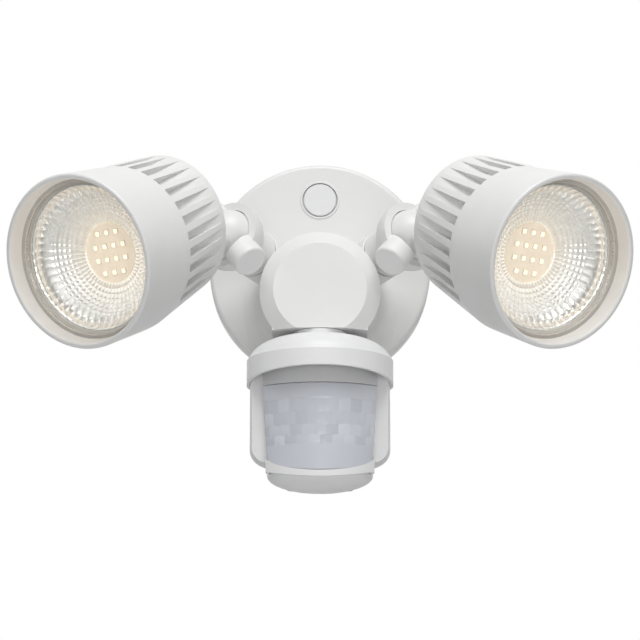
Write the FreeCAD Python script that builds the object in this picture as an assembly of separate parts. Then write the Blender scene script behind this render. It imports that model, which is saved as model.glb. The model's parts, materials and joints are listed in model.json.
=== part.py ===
import FreeCAD, Part
import math
import os

# Outdoor security light: a round wall canopy with a drum in front of it, two
# lamp heads on ball knuckles, and a motion sensor on a short neck below.
#
# Millimetres. The wall is the plane y = 0, the light stands out from it along
# -Y, +Z is up and +X is to the right of someone who faces the wall. The origin
# is the centre of the canopy's back. The right arm and head are modelled, and
# the left ones are their mirror images in the plane x = 0.

V = FreeCAD.Vector
X_AXIS = V(1, 0, 0)
Y_AXIS = V(0, 1, 0)
Z_AXIS = V(0, 0, 1)
ORIGIN = V(0, 0, 0)

# ---------------------------------------------------------------- clearances
SLIDE = 0.05            # radial running fit of a shaft or pin in its bore
FREE = 0.3              # between curved faces of pieces that move apart
EASE = 0.2              # between fitted pieces that don't move

# -------------------------------------------------------------------- canopy
CANOPY_R = 60.5
CANOPY_DEPTH = 14.0
CANOPY_WALL = 2.8
CANOPY_EDGE_R = 2.5
WALL_SEAL_W = 4.6
WALL_SEAL_T = 2.0
WALL_SEAL_SINK = 0.3    # how much of the seal stands proud of the canopy rim

PLUG_HEIGHT = 39.9      # canopy screw and its plug, above the canopy's centre
PLUG_R = 9.1
PLUG_GAP = 0.65
PLUG_PROUD = 0.6
PLUG_DEPTH = 3.4
COLLAR_W = 1.2
COLLAR_H = 0.5
WELL_WALL = 1.8
WELL_FLOOR_T = 2.0
WELL_DEPTH = 7.0        # canopy face to the front of the well's floor

# ---------------------------------------------------------------------- drum
DRUM_DROP = 22.8        # drum axis below the canopy's centre
DRUM_R = 32.0
DRUM_FACE_R = 24.6
DRUM_BEVEL_LEN = 6.0
DRUM_FACE_OUT = 68.0    # wall to the drum's front face
DRUM_WALL = 3.0
DRUM_FLARE = 12.0       # radius of the hollow sweep where the drum meets the canopy
DRUM_SEAT_DROP = 21.1   # flat sensor seat below the drum's axis
DRUM_SEAT_HALF = 25.2

# --------------------------------------------------- arm bosses and knuckles
ARM_OUT_X = 33.8        # centre of the boss's end face
ARM_OUT_Y = 45.0
ARM_OUT_Z = 0.9
ARM_TURN = 34.0         # degrees outward from straight ahead
ARM_RISE = 11.0         # degrees above level
BOSS_R = 13.0
BOSS_BEARING_LEN = 12.0
BOSS_REACH = 30.0       # depth of the wire space behind the bearing
BOSS_ROOT = 44.0        # length of the boss back into the canopy
STEM_R = 9.0
STEM_THREAD_R = 7.0
STEM_THREAD_LEN = 8.5
WIRE_R = 4.0
SEAL_T = 1.1
SHOULDER_R = 12.6
BALL_OUT = 26.0         # boss face to the ball's centre
BALL_R = 14.0
CUP_R = 18.5
CUP_RIM = 2.0           # cup's rim beyond the ball's centre
PIVOT_ROLL = 46.0       # degrees that the pivot leans from level
PIVOT_R = 3.0
PIVOT_BOSS_R = 8.8
PIVOT_FRONT = 24.5      # pivot boss face, on the cap's side
PIVOT_BACK = 20.0
PIVOT_HEAD_R = 4.6
PIVOT_HEAD_T = 2.4
PIVOT_CAP_T = 1.5
PIVOT_NUT_R = 4.6
PIVOT_NUT_T = 3.0
LOCK_NUT_R = 10.8
LOCK_NUT_T = 5.0
NUT_NOTCHES = 6
NUT_NOTCH_W = 2.4

# ----------------------------------------------------------------- lamp head
HEAD_TURN = 33.5        # degrees outward
HEAD_DIP = 21.2         # degrees below level
HEAD_RISE = 8.2         # lamp axis above the ball's centre
RIM_OUT = 131.7         # ball centre to the rim, along the lamp axis
RIM_R = 43.0
RIM_LIP = 2.8           # width of the rounded lip
SEAM = 31.0             # rim to the joint between front housing and heat sink
SEAM_R = 41.7
BEZEL_DEPTH = 8.2       # rim to the lens gasket
BEZEL_FLOOR_R = 39.4
GASKET_FRONT_W = 2.0
GASKET_BACK_W = 3.4
GASKET_LIP = 1.1
LENS_R = 38.1
LENS_T = 3.0
BARREL_BORE_R = 37.2
SPIGOT_R = 38.9
SPIGOT_LEN = 5.0
SPIGOT_BORE_R = 35.2
JOINT_SEAL_T = 1.0
SINK_R = 41.5
SINK_BAND = 3.0         # plain band behind the seam
SINK_BACK = 78.0        # rim to the start of the rounded back
SINK_BACK_R = 36.5
SINK_BACK_RISE = 5.3    # the body's back is set up, over the knuckle
SINK_END = 90.0
SINK_END_R = 26.0
SINK_END_RISE = 2.6
SINK_BORE_R = 27.0
SINK_BACK_T = 6.0
PLATE_T = 3.0
CARRIER_BITE = 4.0      # carrier screws in the heat sink
FIN_STEP = 11.25        # degrees from one groove to the next
FIN_GROOVES = 25
FIN_GROOVE_W = 4.6
FIN_GROOVE_DEPTH = 5.0
FIN_START = 38.0        # rim to the grooves' square front ends
FIN_END = 76.0
PUCK_R = 15.6
PUCK_T = 1.2
CHIP_SIZE = 2.8
CHIP_T = 0.7
CHIP_PITCH_X = 5.6
CHIP_PITCH_Y = 6.6
CHIP_ROWS = (3, 4, 4, 3)
REFLECTOR_R = 35.9
REFLECTOR_HOLE_R = 14.8
REFLECTOR_WALL = 1.1
REFLECTOR_FLANGE_R = 36.9
HEAD_ARM_R = 8.0
HEAD_FLANGE_R = 13.0
HEAD_FLANGE_T = 3.0
HEAD_STUD_R = 6.0
HEAD_STUD_LEN = 7.0
HEAD_WIRE_R = 1.9
HEAD_WIRE_OFFSET = 5.5

# -------------------------------------------------------------------- sensor
NECK_R = 13.8
NECK_GAP = 0.3
NECK_LEN = 2.8
NECK_STEM_R = 7.0
NECK_NUT_R = 10.4
NECK_NUT_T = 4.5
HOOD_R = 38.6
HOOD_WALL = 1.6
BAND_DROP = 12.6        # dome's top to the top of the hood's band
DOME_SEMI = 14.0        # upright half axis of the dome's ellipse
DOME_CREASE = 14.0      # degrees of that ellipse left off above the band
DOME_EDGE = 0.6         # dome's edge inside the band's face
HOOD_BAND = 13.0
HOOD_RAKE = 6.4         # degrees that the band's lower edge rises to the front
TUB_R = 36.8
TUB_WALL = 2.4
TUB_TOP_GAP = 1.2       # under the hood's band top
TUB_FRONT = 10.0        # tub's flat front, ahead of the neck's axis
TUB_LEN = 54.0
TUB_EDGE_R = 8.0
PLINTH_HALF = 27.6
PLINTH_DEPTH_HALF = 25.0
PLINTH_BACK = 3.8       # plinth's centre ahead of the neck's axis
PLINTH_LEN = 6.2
BASE_DROP = 8.6
FRONT_HALF = 29.8       # half width of the lens unit at the window's top
FRONT_TAPER = 1.9       # how much narrower each side is at the chin
FRONT_SIDE = 17.3       # where its curved front meets its sides
FRONT_OUT = 28.8        # its front, ahead of the neck's axis
BROW_OUT = 26.6
BROW_SIDE = 8.0
BROW_LEN = 9.2
BROW_TOP = 6.8          # below the top of the hood's band
WINDOW_LEN = 45.8       # at the middle, where the window is longest
WINDOW_BOW = 9.7        # the window's lower edge hangs this much in the middle
CHIN_LEN = 3.1          # below the window, at the middle
CHIN_BOW = 3.8
WINDOW_BACK = 13.0      # window's side edges, ahead of the neck's axis
FRESNEL_T = 1.4
FRESNEL_SIDE_GAP = 0.25
FRONT_WALL = 2.0

# ---------------------------------------------------------- small hardware
SCREW_R = 1.5
SCREW_HEAD_R = 2.7
SCREW_HEAD_T = 1.7
MOUNT_PLATE_R = 48.0
MOUNT_PLATE_T = 1.6
BOX_SPACING = 88.9      # wall-box screw holes, a 4 inch box
BOX_SLOT_LEN = 7.0
BOX_HOLE_R = 2.3
CANOPY_SCREW_R = 2.0
CANOPY_SCREW_HEAD_R = 3.8
CANOPY_SCREW_HEAD_T = 2.4
DIAL_R = 4.2
DIAL_SPACING = 13.0
DIAL_BACK = 8.0         # dials behind the neck's axis
DIAL_LEN = 3.6
DIAL_SHAFT_R = 1.5
COVER_T = 2.0
COVER_LAP = 4.0
BOARD_T = 1.6
HOOK_HALF = 8.0         # canopy's lower hook and the ledge that it sits behind
HOOK_RIB_FRONT = 4.6
HOOK_RIB_BACK = 2.8
HOOK_RIB_TOP = -50.4
HOOK_LIP = 1.8
GROUND_X = 24.0
GROUND_Z = 22.0
GROMMET_R = 5.0
GROMMET_FLANGE = 1.8
DRIVER_BOARD_OUT = 50.0
DRIVER_HALF_X = 15.0
DRIVER_TOP_Z = -1.0
DRIVER_BOTTOM_Z = -32.5
POST_R = 2.6
SENSOR_BOARD_HALF = 27.5
SENSOR_BOARD_RISE = 3.0     # above the window's top
SENSOR_BOARD_LEN = 36.0
SENSOR_OPENING_HALF = 25.4
PIR_R = 4.6
PIR_LEN = 4.2
PIR_DROP = 24.0             # below the window's top
POT_HALF = 4.0
POT_T = 5.0


# ------------------------------------------------------------ shape helpers
def cylinder(radius, start, direction, length):
    return Part.makeCylinder(radius, length, start, direction)


def tube(outer, inner, start, direction, length):
    return cylinder(outer, start, direction, length).cut(cylinder(inner, start, direction, length))


def span(x, y, z):
    """Box from three (low, high) pairs."""
    return Part.makeBox(x[1] - x[0], y[1] - y[0], z[1] - z[0], V(x[0], y[0], z[0]))


def turned(outline, centre=ORIGIN):
    """Solid of revolution about the local Z axis, from (radius, z) points."""
    points = [centre + V(r, 0, z) for r, z in outline]
    face = Part.Face(Part.makePolygon(points + [points[0]]))
    return face.revolve(centre, Z_AXIS, 360)


def union(shapes):
    first, rest = shapes[0], list(shapes[1:])
    return first.fuse(rest).removeSplitter() if rest else first


def screw(head_at, direction, length, radius=SCREW_R, head_r=SCREW_HEAD_R, head_t=SCREW_HEAD_T):
    """Pan-head screw: direction points from the head to the tip."""
    head = cylinder(head_r, head_at - direction * head_t, direction, head_t)
    shank = cylinder(radius, head_at, direction, length)
    slot = cylinder(head_r * 0.42, head_at - direction * head_t, direction, head_t * 0.5)
    return head.fuse(shank).cut(slot).removeSplitter()


def hex_nut(radius, bore, start, direction, length):
    across = Part.makePolygon([V(radius * math.cos(math.radians(a)), radius * math.sin(math.radians(a)), 0)
                               for a in range(0, 361, 60)])
    nut = Part.Face(across).extrude(V(0, 0, length))
    nut.Placement = FreeCAD.Placement(start, FreeCAD.Rotation(Z_AXIS, direction))
    return nut.cut(cylinder(bore, start, direction, length))


def lock_nut(outer, bore, thickness):
    """Thin round nut with notches for a spanner, standing on z = 0."""
    nut = tube(outer, bore, ORIGIN, Z_AXIS, thickness)
    for step in range(NUT_NOTCHES):
        notch = span((outer - 1.4, outer + 1), (-NUT_NOTCH_W / 2, NUT_NOTCH_W / 2), (-1, thickness + 1))
        notch.rotate(ORIGIN, Z_AXIS, 360.0 * step / NUT_NOTCHES)
        nut = nut.cut(notch)
    return nut


def frame(origin, forward, up=Z_AXIS):
    """Placement whose local Z is forward and whose local Y is as near up as it can be."""
    level = up.cross(forward).normalize()
    lifted = forward.cross(level)
    matrix = FreeCAD.Matrix(level.x, lifted.x, forward.x, origin.x,
                            level.y, lifted.y, forward.y, origin.y,
                            level.z, lifted.z, forward.z, origin.z)
    return FreeCAD.Placement(matrix)


def aim(turn, rise):
    """Unit vector that points out from the wall, turned to the right and raised."""
    turn, rise = math.radians(turn), math.radians(rise)
    return V(math.sin(turn) * math.cos(rise), -math.cos(turn) * math.cos(rise), math.sin(rise))


def placed(shape, placement):
    copy = shape.copy()
    copy.Placement = placement.multiply(copy.Placement)
    return copy


def mirrored(shape):
    return shape.mirror(ORIGIN, X_AXIS)


def export(name, shape):
    if shape.ShapeType == "Compound" and len(shape.Solids) == 1:
        shape = shape.Solids[0]
    shape.exportStep("parts/%s.step" % name)
    print("%-28s solids %2d  volume %10.1f  valid %s"
          % (name, len(shape.Solids), shape.Volume, shape.isValid()))


# --------------------------------------------------------- derived positions
OUT = V(0, -1, 0)
SEAT_Z = -DRUM_DROP - DRUM_SEAT_DROP
NECK_Y = -(DRUM_FACE_OUT - NECK_R)
NECK_AXIS = V(0, NECK_Y, 0)
DRUM_AXIS = V(0, 0, -DRUM_DROP)
ARM_DIR = aim(ARM_TURN, ARM_RISE)
ARM_FRAME = frame(V(ARM_OUT_X, -ARM_OUT_Y, ARM_OUT_Z), ARM_DIR)
BALL_LOCAL = V(0, 0, BALL_OUT)
BALL_CENTRE = ARM_FRAME.multVec(BALL_LOCAL)
ROLL = math.radians(PIVOT_ROLL)
PIVOT_LOCAL = V(-math.cos(ROLL), -math.sin(ROLL), 0)
PIVOT_DIR = ARM_FRAME.Rotation.multVec(PIVOT_LOCAL)
HEAD_DIR = aim(HEAD_TURN, -HEAD_DIP)
HEAD_AT_BALL = frame(BALL_CENTRE, HEAD_DIR)
HEAD_FRAME = frame(HEAD_AT_BALL.multVec(V(0, HEAD_RISE, RIM_OUT)), HEAD_DIR)
HEAD_BALL = HEAD_FRAME.inverse().multVec(BALL_CENTRE)
HEAD_PIVOT = HEAD_FRAME.Rotation.inverted().multVec(PIVOT_DIR)
HOOD_TOP_Z = SEAT_Z - NECK_GAP - NECK_LEN
BAND_TOP_Z = HOOD_TOP_Z - BAND_DROP
TUB_TOP_Z = BAND_TOP_Z - TUB_TOP_GAP
TUB_BOTTOM_Z = TUB_TOP_Z - TUB_LEN
PLINTH_Z = TUB_BOTTOM_Z - PLINTH_LEN
PLINTH_Y = NECK_Y - PLINTH_BACK
BROW_TOP_Z = BAND_TOP_Z - BROW_TOP
WINDOW_TOP_Z = BROW_TOP_Z - BROW_LEN
WINDOW_BOTTOM_Z = WINDOW_TOP_Z - WINDOW_LEN
CHIN_Z = WINDOW_BOTTOM_Z - CHIN_LEN
TUB_FRONT_Y = NECK_Y - TUB_FRONT


# -------------------------------------------------------------------- canopy
def drum_outline(radius, face_r, front, back, seat_half, seat_drop):
    """The drum's solid: a bevelled cylinder cut flat below, over a square-sided seat."""
    straight = front - (radius - face_r) * DRUM_BEVEL_LEN / (DRUM_R - DRUM_FACE_R)
    body = cylinder(radius, DRUM_AXIS + OUT * back, OUT, straight - back)
    bevel = Part.makeCone(radius, face_r, front - straight, DRUM_AXIS + OUT * straight, OUT)
    seat = span((-seat_half, seat_half), (-straight, -back), (-DRUM_DROP - seat_drop, -DRUM_DROP))
    cut_off = span((-100, 100), (-100, 10), (-200, -DRUM_DROP - seat_drop))
    return union([body, bevel, seat]).cut(cut_off)


def drum_flare():
    """Hollow sweep from the drum's side out to the canopy's face."""
    mid = DRUM_FLARE * (1 - math.sqrt(0.5))
    inner = V(DRUM_R - 1, -CANOPY_DEPTH - DRUM_FLARE, -DRUM_DROP)
    start = V(DRUM_R, -CANOPY_DEPTH - DRUM_FLARE, -DRUM_DROP)
    middle = V(DRUM_R + mid, -CANOPY_DEPTH - mid, -DRUM_DROP)
    end = V(DRUM_R + DRUM_FLARE, -CANOPY_DEPTH + 0.2, -DRUM_DROP)
    root = V(DRUM_R - 1, -CANOPY_DEPTH + 0.2, -DRUM_DROP)
    edges = [Part.Arc(start, middle, end).toShape(), Part.makeLine(end, root),
             Part.makeLine(root, inner), Part.makeLine(inner, start)]
    sweep = Part.Face(Part.Wire(edges)).revolve(DRUM_AXIS, Y_AXIS, 360)
    return sweep.cut(span((-100, 100), (-100, 10), (-200, SEAT_Z)))


def arm_boss(length):
    boss = cylinder(BOSS_R, V(0, 0, -length), Z_AXIS, length)
    rim = [e for e in boss.Edges if abs(e.BoundBox.ZMin) < 1e-6 and abs(e.BoundBox.ZMax) < 1e-6]
    boss = placed(boss.makeFillet(0.8, rim), ARM_FRAME)
    return boss.cut(span((-200, 200), (-CANOPY_DEPTH + CANOPY_WALL, 50), (-200, 200)))


def arm_bore():
    bearing = cylinder(STEM_R + SLIDE, V(0, 0, -BOSS_BEARING_LEN - 1), Z_AXIS, BOSS_BEARING_LEN + 2)
    space = cylinder(LOCK_NUT_R + 0.4, V(0, 0, -BOSS_REACH), Z_AXIS, BOSS_REACH - BOSS_BEARING_LEN)
    relief = cylinder(SHOULDER_R + 2 * FREE, ORIGIN, Z_AXIS, BOSS_BEARING_LEN)
    return placed(bearing.fuse([space, relief]), ARM_FRAME)


def driver_posts():
    front = DRUM_FACE_OUT - DRUM_WALL + 1
    back = DRIVER_BOARD_OUT + BOARD_T
    return [tube(POST_R, SCREW_R, V(x, -front, z), Y_AXIS, front - back) for x, z in driver_post_places()]


def driver_post_places():
    return [(sx * (DRIVER_HALF_X - 3), z) for sx in (-1, 1) for z in (DRIVER_TOP_Z - 3, DRIVER_BOTTOM_Z + 3)]


def canopy_housing():
    shell = cylinder(CANOPY_R, V(0, -WALL_SEAL_SINK, 0), OUT, CANOPY_DEPTH - WALL_SEAL_SINK)
    rim_edge = [e for e in shell.Edges if abs(e.BoundBox.YMin + CANOPY_DEPTH) < 1e-6
                and abs(e.BoundBox.YMax + CANOPY_DEPTH) < 1e-6]
    shell = shell.makeFillet(CANOPY_EDGE_R, rim_edge)
    hollow_r = CANOPY_R - CANOPY_WALL
    shell = shell.cut(cylinder(hollow_r, V(0, 1, 0), OUT, 1 + WALL_SEAL_T))
    shell = shell.cut(cylinder(hollow_r - WALL_SEAL_W, V(0, 1, 0), OUT, 1 + CANOPY_DEPTH - CANOPY_WALL))
    plug_at = V(0, 0, PLUG_HEIGHT)
    well_r = PLUG_R + PLUG_GAP
    collar = tube(well_r + COLLAR_W, well_r, plug_at + OUT * (CANOPY_DEPTH - 1), OUT, 1 + COLLAR_H)
    collar = collar.makeChamfer(0.35, [e for e in collar.Edges
                                       if abs(e.BoundBox.YMin + CANOPY_DEPTH + COLLAR_H) < 1e-6
                                       and e.BoundBox.XMax > well_r + COLLAR_W - 0.01
                                       and abs(e.BoundBox.YMax + CANOPY_DEPTH + COLLAR_H) < 1e-6])
    floor_out = CANOPY_DEPTH - WELL_DEPTH - WELL_FLOOR_T
    well = cylinder(well_r + WELL_WALL, plug_at + OUT * floor_out, OUT, CANOPY_DEPTH - floor_out - 0.5)
    drum = drum_outline(DRUM_R, DRUM_FACE_R, DRUM_FACE_OUT, CANOPY_DEPTH - 1, DRUM_SEAT_HALF, DRUM_SEAT_DROP)
    bosses = [arm_boss(BOSS_ROOT), mirrored(arm_boss(BOSS_ROOT))]
    body = union([shell, collar, well, drum, drum_flare()] + bosses)
    body = body.cut(cylinder(well_r, plug_at + OUT * (CANOPY_DEPTH - WELL_DEPTH), OUT, 20))
    body = body.cut(cylinder(CANOPY_SCREW_R + EASE, plug_at, OUT, CANOPY_DEPTH))
    hollow = drum_outline(DRUM_R - DRUM_WALL, DRUM_FACE_R - DRUM_WALL / 2, DRUM_FACE_OUT - DRUM_WALL,
                          CANOPY_DEPTH - CANOPY_WALL - 1, DRUM_SEAT_HALF - DRUM_WALL,
                          DRUM_SEAT_DROP - DRUM_WALL)
    sleeve = placed(cylinder(BOSS_R, V(0, 0, -BOSS_BEARING_LEN), Z_AXIS, BOSS_BEARING_LEN), ARM_FRAME)
    body = body.cut(hollow.cut([sleeve, mirrored(sleeve)]))
    body = body.cut([arm_bore(), mirrored(arm_bore())])
    holes = [cylinder(SCREW_R, V(x, 0, z), OUT, CANOPY_DEPTH - 0.4) for x, z in cover_screw_places()]
    holes.append(cylinder(NECK_STEM_R + SLIDE, NECK_AXIS + V(0, 0, SEAT_Z - 1), Z_AXIS, DRUM_WALL + 2))
    body = body.cut(holes)
    rib = span((-HOOK_HALF, HOOK_HALF), (-HOOK_RIB_FRONT, -HOOK_RIB_BACK),
               (-CANOPY_R + CANOPY_WALL - 0.5, HOOK_RIB_TOP))
    return union([body, rib] + driver_posts())


def cover_screw_places():
    reach = DRUM_R - DRUM_WALL + COVER_LAP / 2 + 0.6
    return [(reach * math.sin(math.radians(a)), -DRUM_DROP + reach * math.cos(math.radians(a)))
            for a in (0, 115, 245)]


def wall_seal():
    outer = CANOPY_R - CANOPY_WALL - EASE
    return tube(outer, outer - WALL_SEAL_W, ORIGIN, OUT, WALL_SEAL_T)


def top_plug():
    back = CANOPY_DEPTH + PLUG_PROUD - PLUG_DEPTH
    plug = cylinder(PLUG_R, V(0, -back, PLUG_HEIGHT), OUT, PLUG_DEPTH)
    plug = plug.makeChamfer(0.5, [e for e in plug.Edges if abs(e.BoundBox.YMax - e.BoundBox.YMin) < 1e-6
                                  and e.BoundBox.YMin < -CANOPY_DEPTH])
    skirt_back = CANOPY_DEPTH - WELL_DEPTH
    skirt = tube(PLUG_R + PLUG_GAP, PLUG_R - 1, V(0, -skirt_back, PLUG_HEIGHT), OUT, back + 1 - skirt_back)
    return plug.fuse(skirt).removeSplitter()


def canopy_screw():
    head_at = V(0, -(CANOPY_DEPTH - WELL_DEPTH), PLUG_HEIGHT)
    return screw(head_at, Y_AXIS, CANOPY_DEPTH - WELL_DEPTH - 0.4,
                 CANOPY_SCREW_R, CANOPY_SCREW_HEAD_R, CANOPY_SCREW_HEAD_T)


def mounting_plate():
    plate = cylinder(MOUNT_PLATE_R, ORIGIN, OUT, MOUNT_PLATE_T)
    bush = cylinder(4.4, V(0, 0, PLUG_HEIGHT), OUT, 4.4)
    lug_top = HOOK_RIB_TOP + 2.2
    ledge = span((-HOOK_HALF + 1, HOOK_HALF - 1), (-6.6, -MOUNT_PLATE_T + 0.2), (HOOK_RIB_TOP + 0.4, lug_top))
    lip = span((-HOOK_HALF + 1, HOOK_HALF - 1), (-6.6, -HOOK_RIB_FRONT - 0.3), (HOOK_RIB_TOP - HOOK_LIP, lug_top))
    root = span((-HOOK_HALF + 1, HOOK_HALF - 1), (-MOUNT_PLATE_T, 0), (HOOK_RIB_TOP + 0.4, -MOUNT_PLATE_R + 3))
    plate = union([plate, bush, ledge, lip, root])
    plate = plate.cut(cylinder(18, V(0, 1, 0), OUT, 10))
    plate = plate.cut(cylinder(CANOPY_SCREW_R, V(0, 1, PLUG_HEIGHT), OUT, 10))
    for side in (-1, 1):
        half = BOX_SLOT_LEN / 2 - BOX_HOLE_R
        centre = side * BOX_SPACING / 2
        slot = union([cylinder(BOX_HOLE_R, V(centre - half, 1, 0), OUT, 5),
                      cylinder(BOX_HOLE_R, V(centre + half, 1, 0), OUT, 5),
                      span((centre - half, centre + half), (-4, 1), (-BOX_HOLE_R, BOX_HOLE_R))])
        plate = plate.cut(slot)
    return plate.cut(cylinder(SCREW_R, V(GROUND_X, 1, GROUND_Z), OUT, 5))


def ground_screw():
    return screw(V(GROUND_X, -MOUNT_PLATE_T, GROUND_Z), Y_AXIS, MOUNT_PLATE_T, head_r=3.4)


# -------------------------------------------------------------------- driver
def driver_cover():
    back = CANOPY_DEPTH - CANOPY_WALL
    radius = DRUM_R - DRUM_WALL + COVER_LAP
    cover = cylinder(radius, DRUM_AXIS + OUT * (back - COVER_T), OUT, COVER_T)
    cover = cover.common(cylinder(CANOPY_R - CANOPY_WALL - WALL_SEAL_W - EASE, ORIGIN, OUT, CANOPY_DEPTH))
    cover = cover.cut(cylinder(GROMMET_R, DRUM_AXIS + OUT * (back - COVER_T - 1), OUT, COVER_T + 2))
    for x, z in cover_screw_places():
        cover = cover.cut(cylinder(SCREW_R + EASE, V(x, 0, z), OUT, 20))
    return cover


def cable_grommet():
    back = CANOPY_DEPTH - CANOPY_WALL
    body = cylinder(GROMMET_R, DRUM_AXIS + OUT * (back - COVER_T), OUT, COVER_T)
    inner = cylinder(GROMMET_R + GROMMET_FLANGE, DRUM_AXIS + OUT * back, OUT, 1.4)
    outer = cylinder(GROMMET_R + GROMMET_FLANGE, DRUM_AXIS + OUT * (back - COVER_T - 1.4), OUT, 1.4)
    return union([body, inner, outer]).cut(cylinder(3.1, DRUM_AXIS, OUT, 30))


def driver_board():
    board = span((-DRIVER_HALF_X, DRIVER_HALF_X), (-DRIVER_BOARD_OUT - BOARD_T, -DRIVER_BOARD_OUT),
                 (DRIVER_BOTTOM_Z, DRIVER_TOP_Z))
    for x, z in driver_post_places():
        board = board.cut(cylinder(SCREW_R + EASE, V(x, -DRIVER_BOARD_OUT + 1, z), OUT, BOARD_T + 2))
    return board


def driver_screws():
    """Four hold the board and three hold the cover, all alike."""
    length = COVER_T + CANOPY_WALL - 0.6
    back = CANOPY_DEPTH - CANOPY_WALL - COVER_T
    places = [V(x, -DRIVER_BOARD_OUT, z) for x, z in driver_post_places()]
    places += [V(x, -back, z) for x, z in cover_screw_places()]
    return [screw(place, OUT, length, head_r=2.3) for place in places]


def driver_transformer():
    z0 = DRIVER_BOTTOM_Z + 8
    core = span((-7, 7), (-DRIVER_BOARD_OUT, -DRIVER_BOARD_OUT + 11), (z0, z0 + 5))
    core = core.fuse(span((-7, 7), (-DRIVER_BOARD_OUT, -DRIVER_BOARD_OUT + 11), (z0 + 9, z0 + 14)))
    bobbin = span((-5.5, 5.5), (-DRIVER_BOARD_OUT, -DRIVER_BOARD_OUT + 9), (z0 + 5, z0 + 9))
    return union([core, bobbin])


def driver_capacitors():
    return [cylinder(3.4, V(x, -DRIVER_BOARD_OUT, DRIVER_TOP_Z - 4.4), Y_AXIS, 13) for x in (-4.2, 4.2)]


# ------------------------------------------------------- swivel and its ball
def swivel_cup():
    thread = cylinder(STEM_THREAD_R, V(0, 0, -BOSS_BEARING_LEN - STEM_THREAD_LEN), Z_AXIS, STEM_THREAD_LEN)
    stem = cylinder(STEM_R, V(0, 0, -BOSS_BEARING_LEN), Z_AXIS, BOSS_BEARING_LEN + SEAL_T)
    shoulder = cylinder(SHOULDER_R, V(0, 0, SEAL_T), Z_AXIS, BALL_OUT - SEAL_T)
    bowl = Part.makeSphere(CUP_R, BALL_LOCAL)
    body = union([shoulder, bowl]).cut(span((-60, 60), (-60, 60), (BALL_OUT + CUP_RIM, 90)))
    front = cylinder(PIVOT_BOSS_R, BALL_LOCAL, PIVOT_LOCAL, PIVOT_FRONT)
    back = cylinder(PIVOT_BOSS_R, BALL_LOCAL, PIVOT_LOCAL * -1, PIVOT_BACK)
    front = front.makeFillet(1.6, end_edges(front, PIVOT_FRONT))
    back = back.makeFillet(1.6, end_edges(back, -PIVOT_BACK))
    body = union([body, thread, stem, front, back])
    recess = Part.makeSphere(BALL_R + FREE, BALL_LOCAL)
    recess = recess.fuse(cylinder(BALL_R + FREE, BALL_LOCAL, Z_AXIS, 40))
    body = body.cut(recess)
    body = body.cut(cylinder(WIRE_R, V(0, 0, -60), Z_AXIS, 60 + BALL_OUT))
    pin_hole = cylinder(PIVOT_R + SLIDE, BALL_LOCAL - PIVOT_LOCAL * 60, PIVOT_LOCAL, 120)
    head_hole = cylinder(PIVOT_HEAD_R + EASE, pivot_point(head_seat()), PIVOT_LOCAL, 20)
    nut_hole = cylinder(PIVOT_NUT_R + EASE, pivot_point(-nut_seat()), PIVOT_LOCAL * -1, 20)
    return body.cut([pin_hole, head_hole, nut_hole]).removeSplitter()


def head_seat():
    return PIVOT_FRONT - PIVOT_CAP_T - PIVOT_HEAD_T


def nut_seat():
    return PIVOT_BACK - PIVOT_CAP_T - PIVOT_NUT_T


def pivot_point(along):
    """Point on the pivot's axis, in the arm's frame, measured from the ball towards the cap."""
    return BALL_LOCAL + PIVOT_LOCAL * along


def end_edges(shape, along):
    """Round edges of a pivot boss at one distance along the pivot."""
    found = []
    for edge in shape.Edges:
        reach = (edge.CenterOfMass - BALL_LOCAL).dot(PIVOT_LOCAL)
        if abs(reach - along) < 1e-4 and edge.Length > 6 * PIVOT_BOSS_R - 0.01:
            found.append(edge)
    return found


def pivot_screw():
    shank = cylinder(PIVOT_R, pivot_point(-nut_seat() - PIVOT_NUT_T), PIVOT_LOCAL,
                     nut_seat() + PIVOT_NUT_T + head_seat())
    head = cylinder(PIVOT_HEAD_R, pivot_point(head_seat()), PIVOT_LOCAL, PIVOT_HEAD_T)
    socket = hex_nut(2.3, 0.01, pivot_point(head_seat() + 0.8), PIVOT_LOCAL, PIVOT_HEAD_T)
    return union([shank, head]).cut(Part.Solid(socket.Shells[0])).removeSplitter()


def pivot_nut():
    return hex_nut(PIVOT_NUT_R, PIVOT_R, pivot_point(-nut_seat()), PIVOT_LOCAL * -1, PIVOT_NUT_T)


def pivot_caps():
    front = cylinder(PIVOT_HEAD_R + EASE, pivot_point(PIVOT_FRONT - PIVOT_CAP_T), PIVOT_LOCAL, PIVOT_CAP_T)
    back = cylinder(PIVOT_NUT_R + EASE, pivot_point(-PIVOT_BACK + PIVOT_CAP_T), PIVOT_LOCAL * -1, PIVOT_CAP_T)
    return [front, back]


def swivel_seal():
    return tube(SHOULDER_R - 0.8, STEM_R + SLIDE, V(0, 0, 0.05), Z_AXIS, SEAL_T - 0.05)


def swivel_nut():
    nut = lock_nut(LOCK_NUT_R, STEM_THREAD_R, LOCK_NUT_T)
    nut.translate(V(0, 0, -BOSS_BEARING_LEN - LOCK_NUT_T))
    return nut


# ----------------------------------------------------------------- lamp head
# The head's frame has its origin at the centre of the rim and local Z out of
# the lamp, so a depth behind the rim is a negative local z.
def disc_wire(radius, rise, depth):
    return Part.Wire(Part.Circle(V(0, rise, -depth), Z_AXIS, radius).toShape())


def cone_between(first, second):
    return Part.makeLoft([disc_wire(*first), disc_wire(*second)], True, True)


def generator(angle):
    """Front and back points of one straight line down the heat sink's side, and its normal."""
    around = V(math.cos(angle), math.sin(angle), 0)
    front = around * SINK_R + V(0, 0, -SEAM - SINK_BAND)
    back = around * SINK_BACK_R + V(0, SINK_BACK_RISE, -SINK_BACK)
    along = (back - front).normalize()
    side = Z_AXIS.cross(around)
    return front, along, side, side.cross(along) * -1


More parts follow.
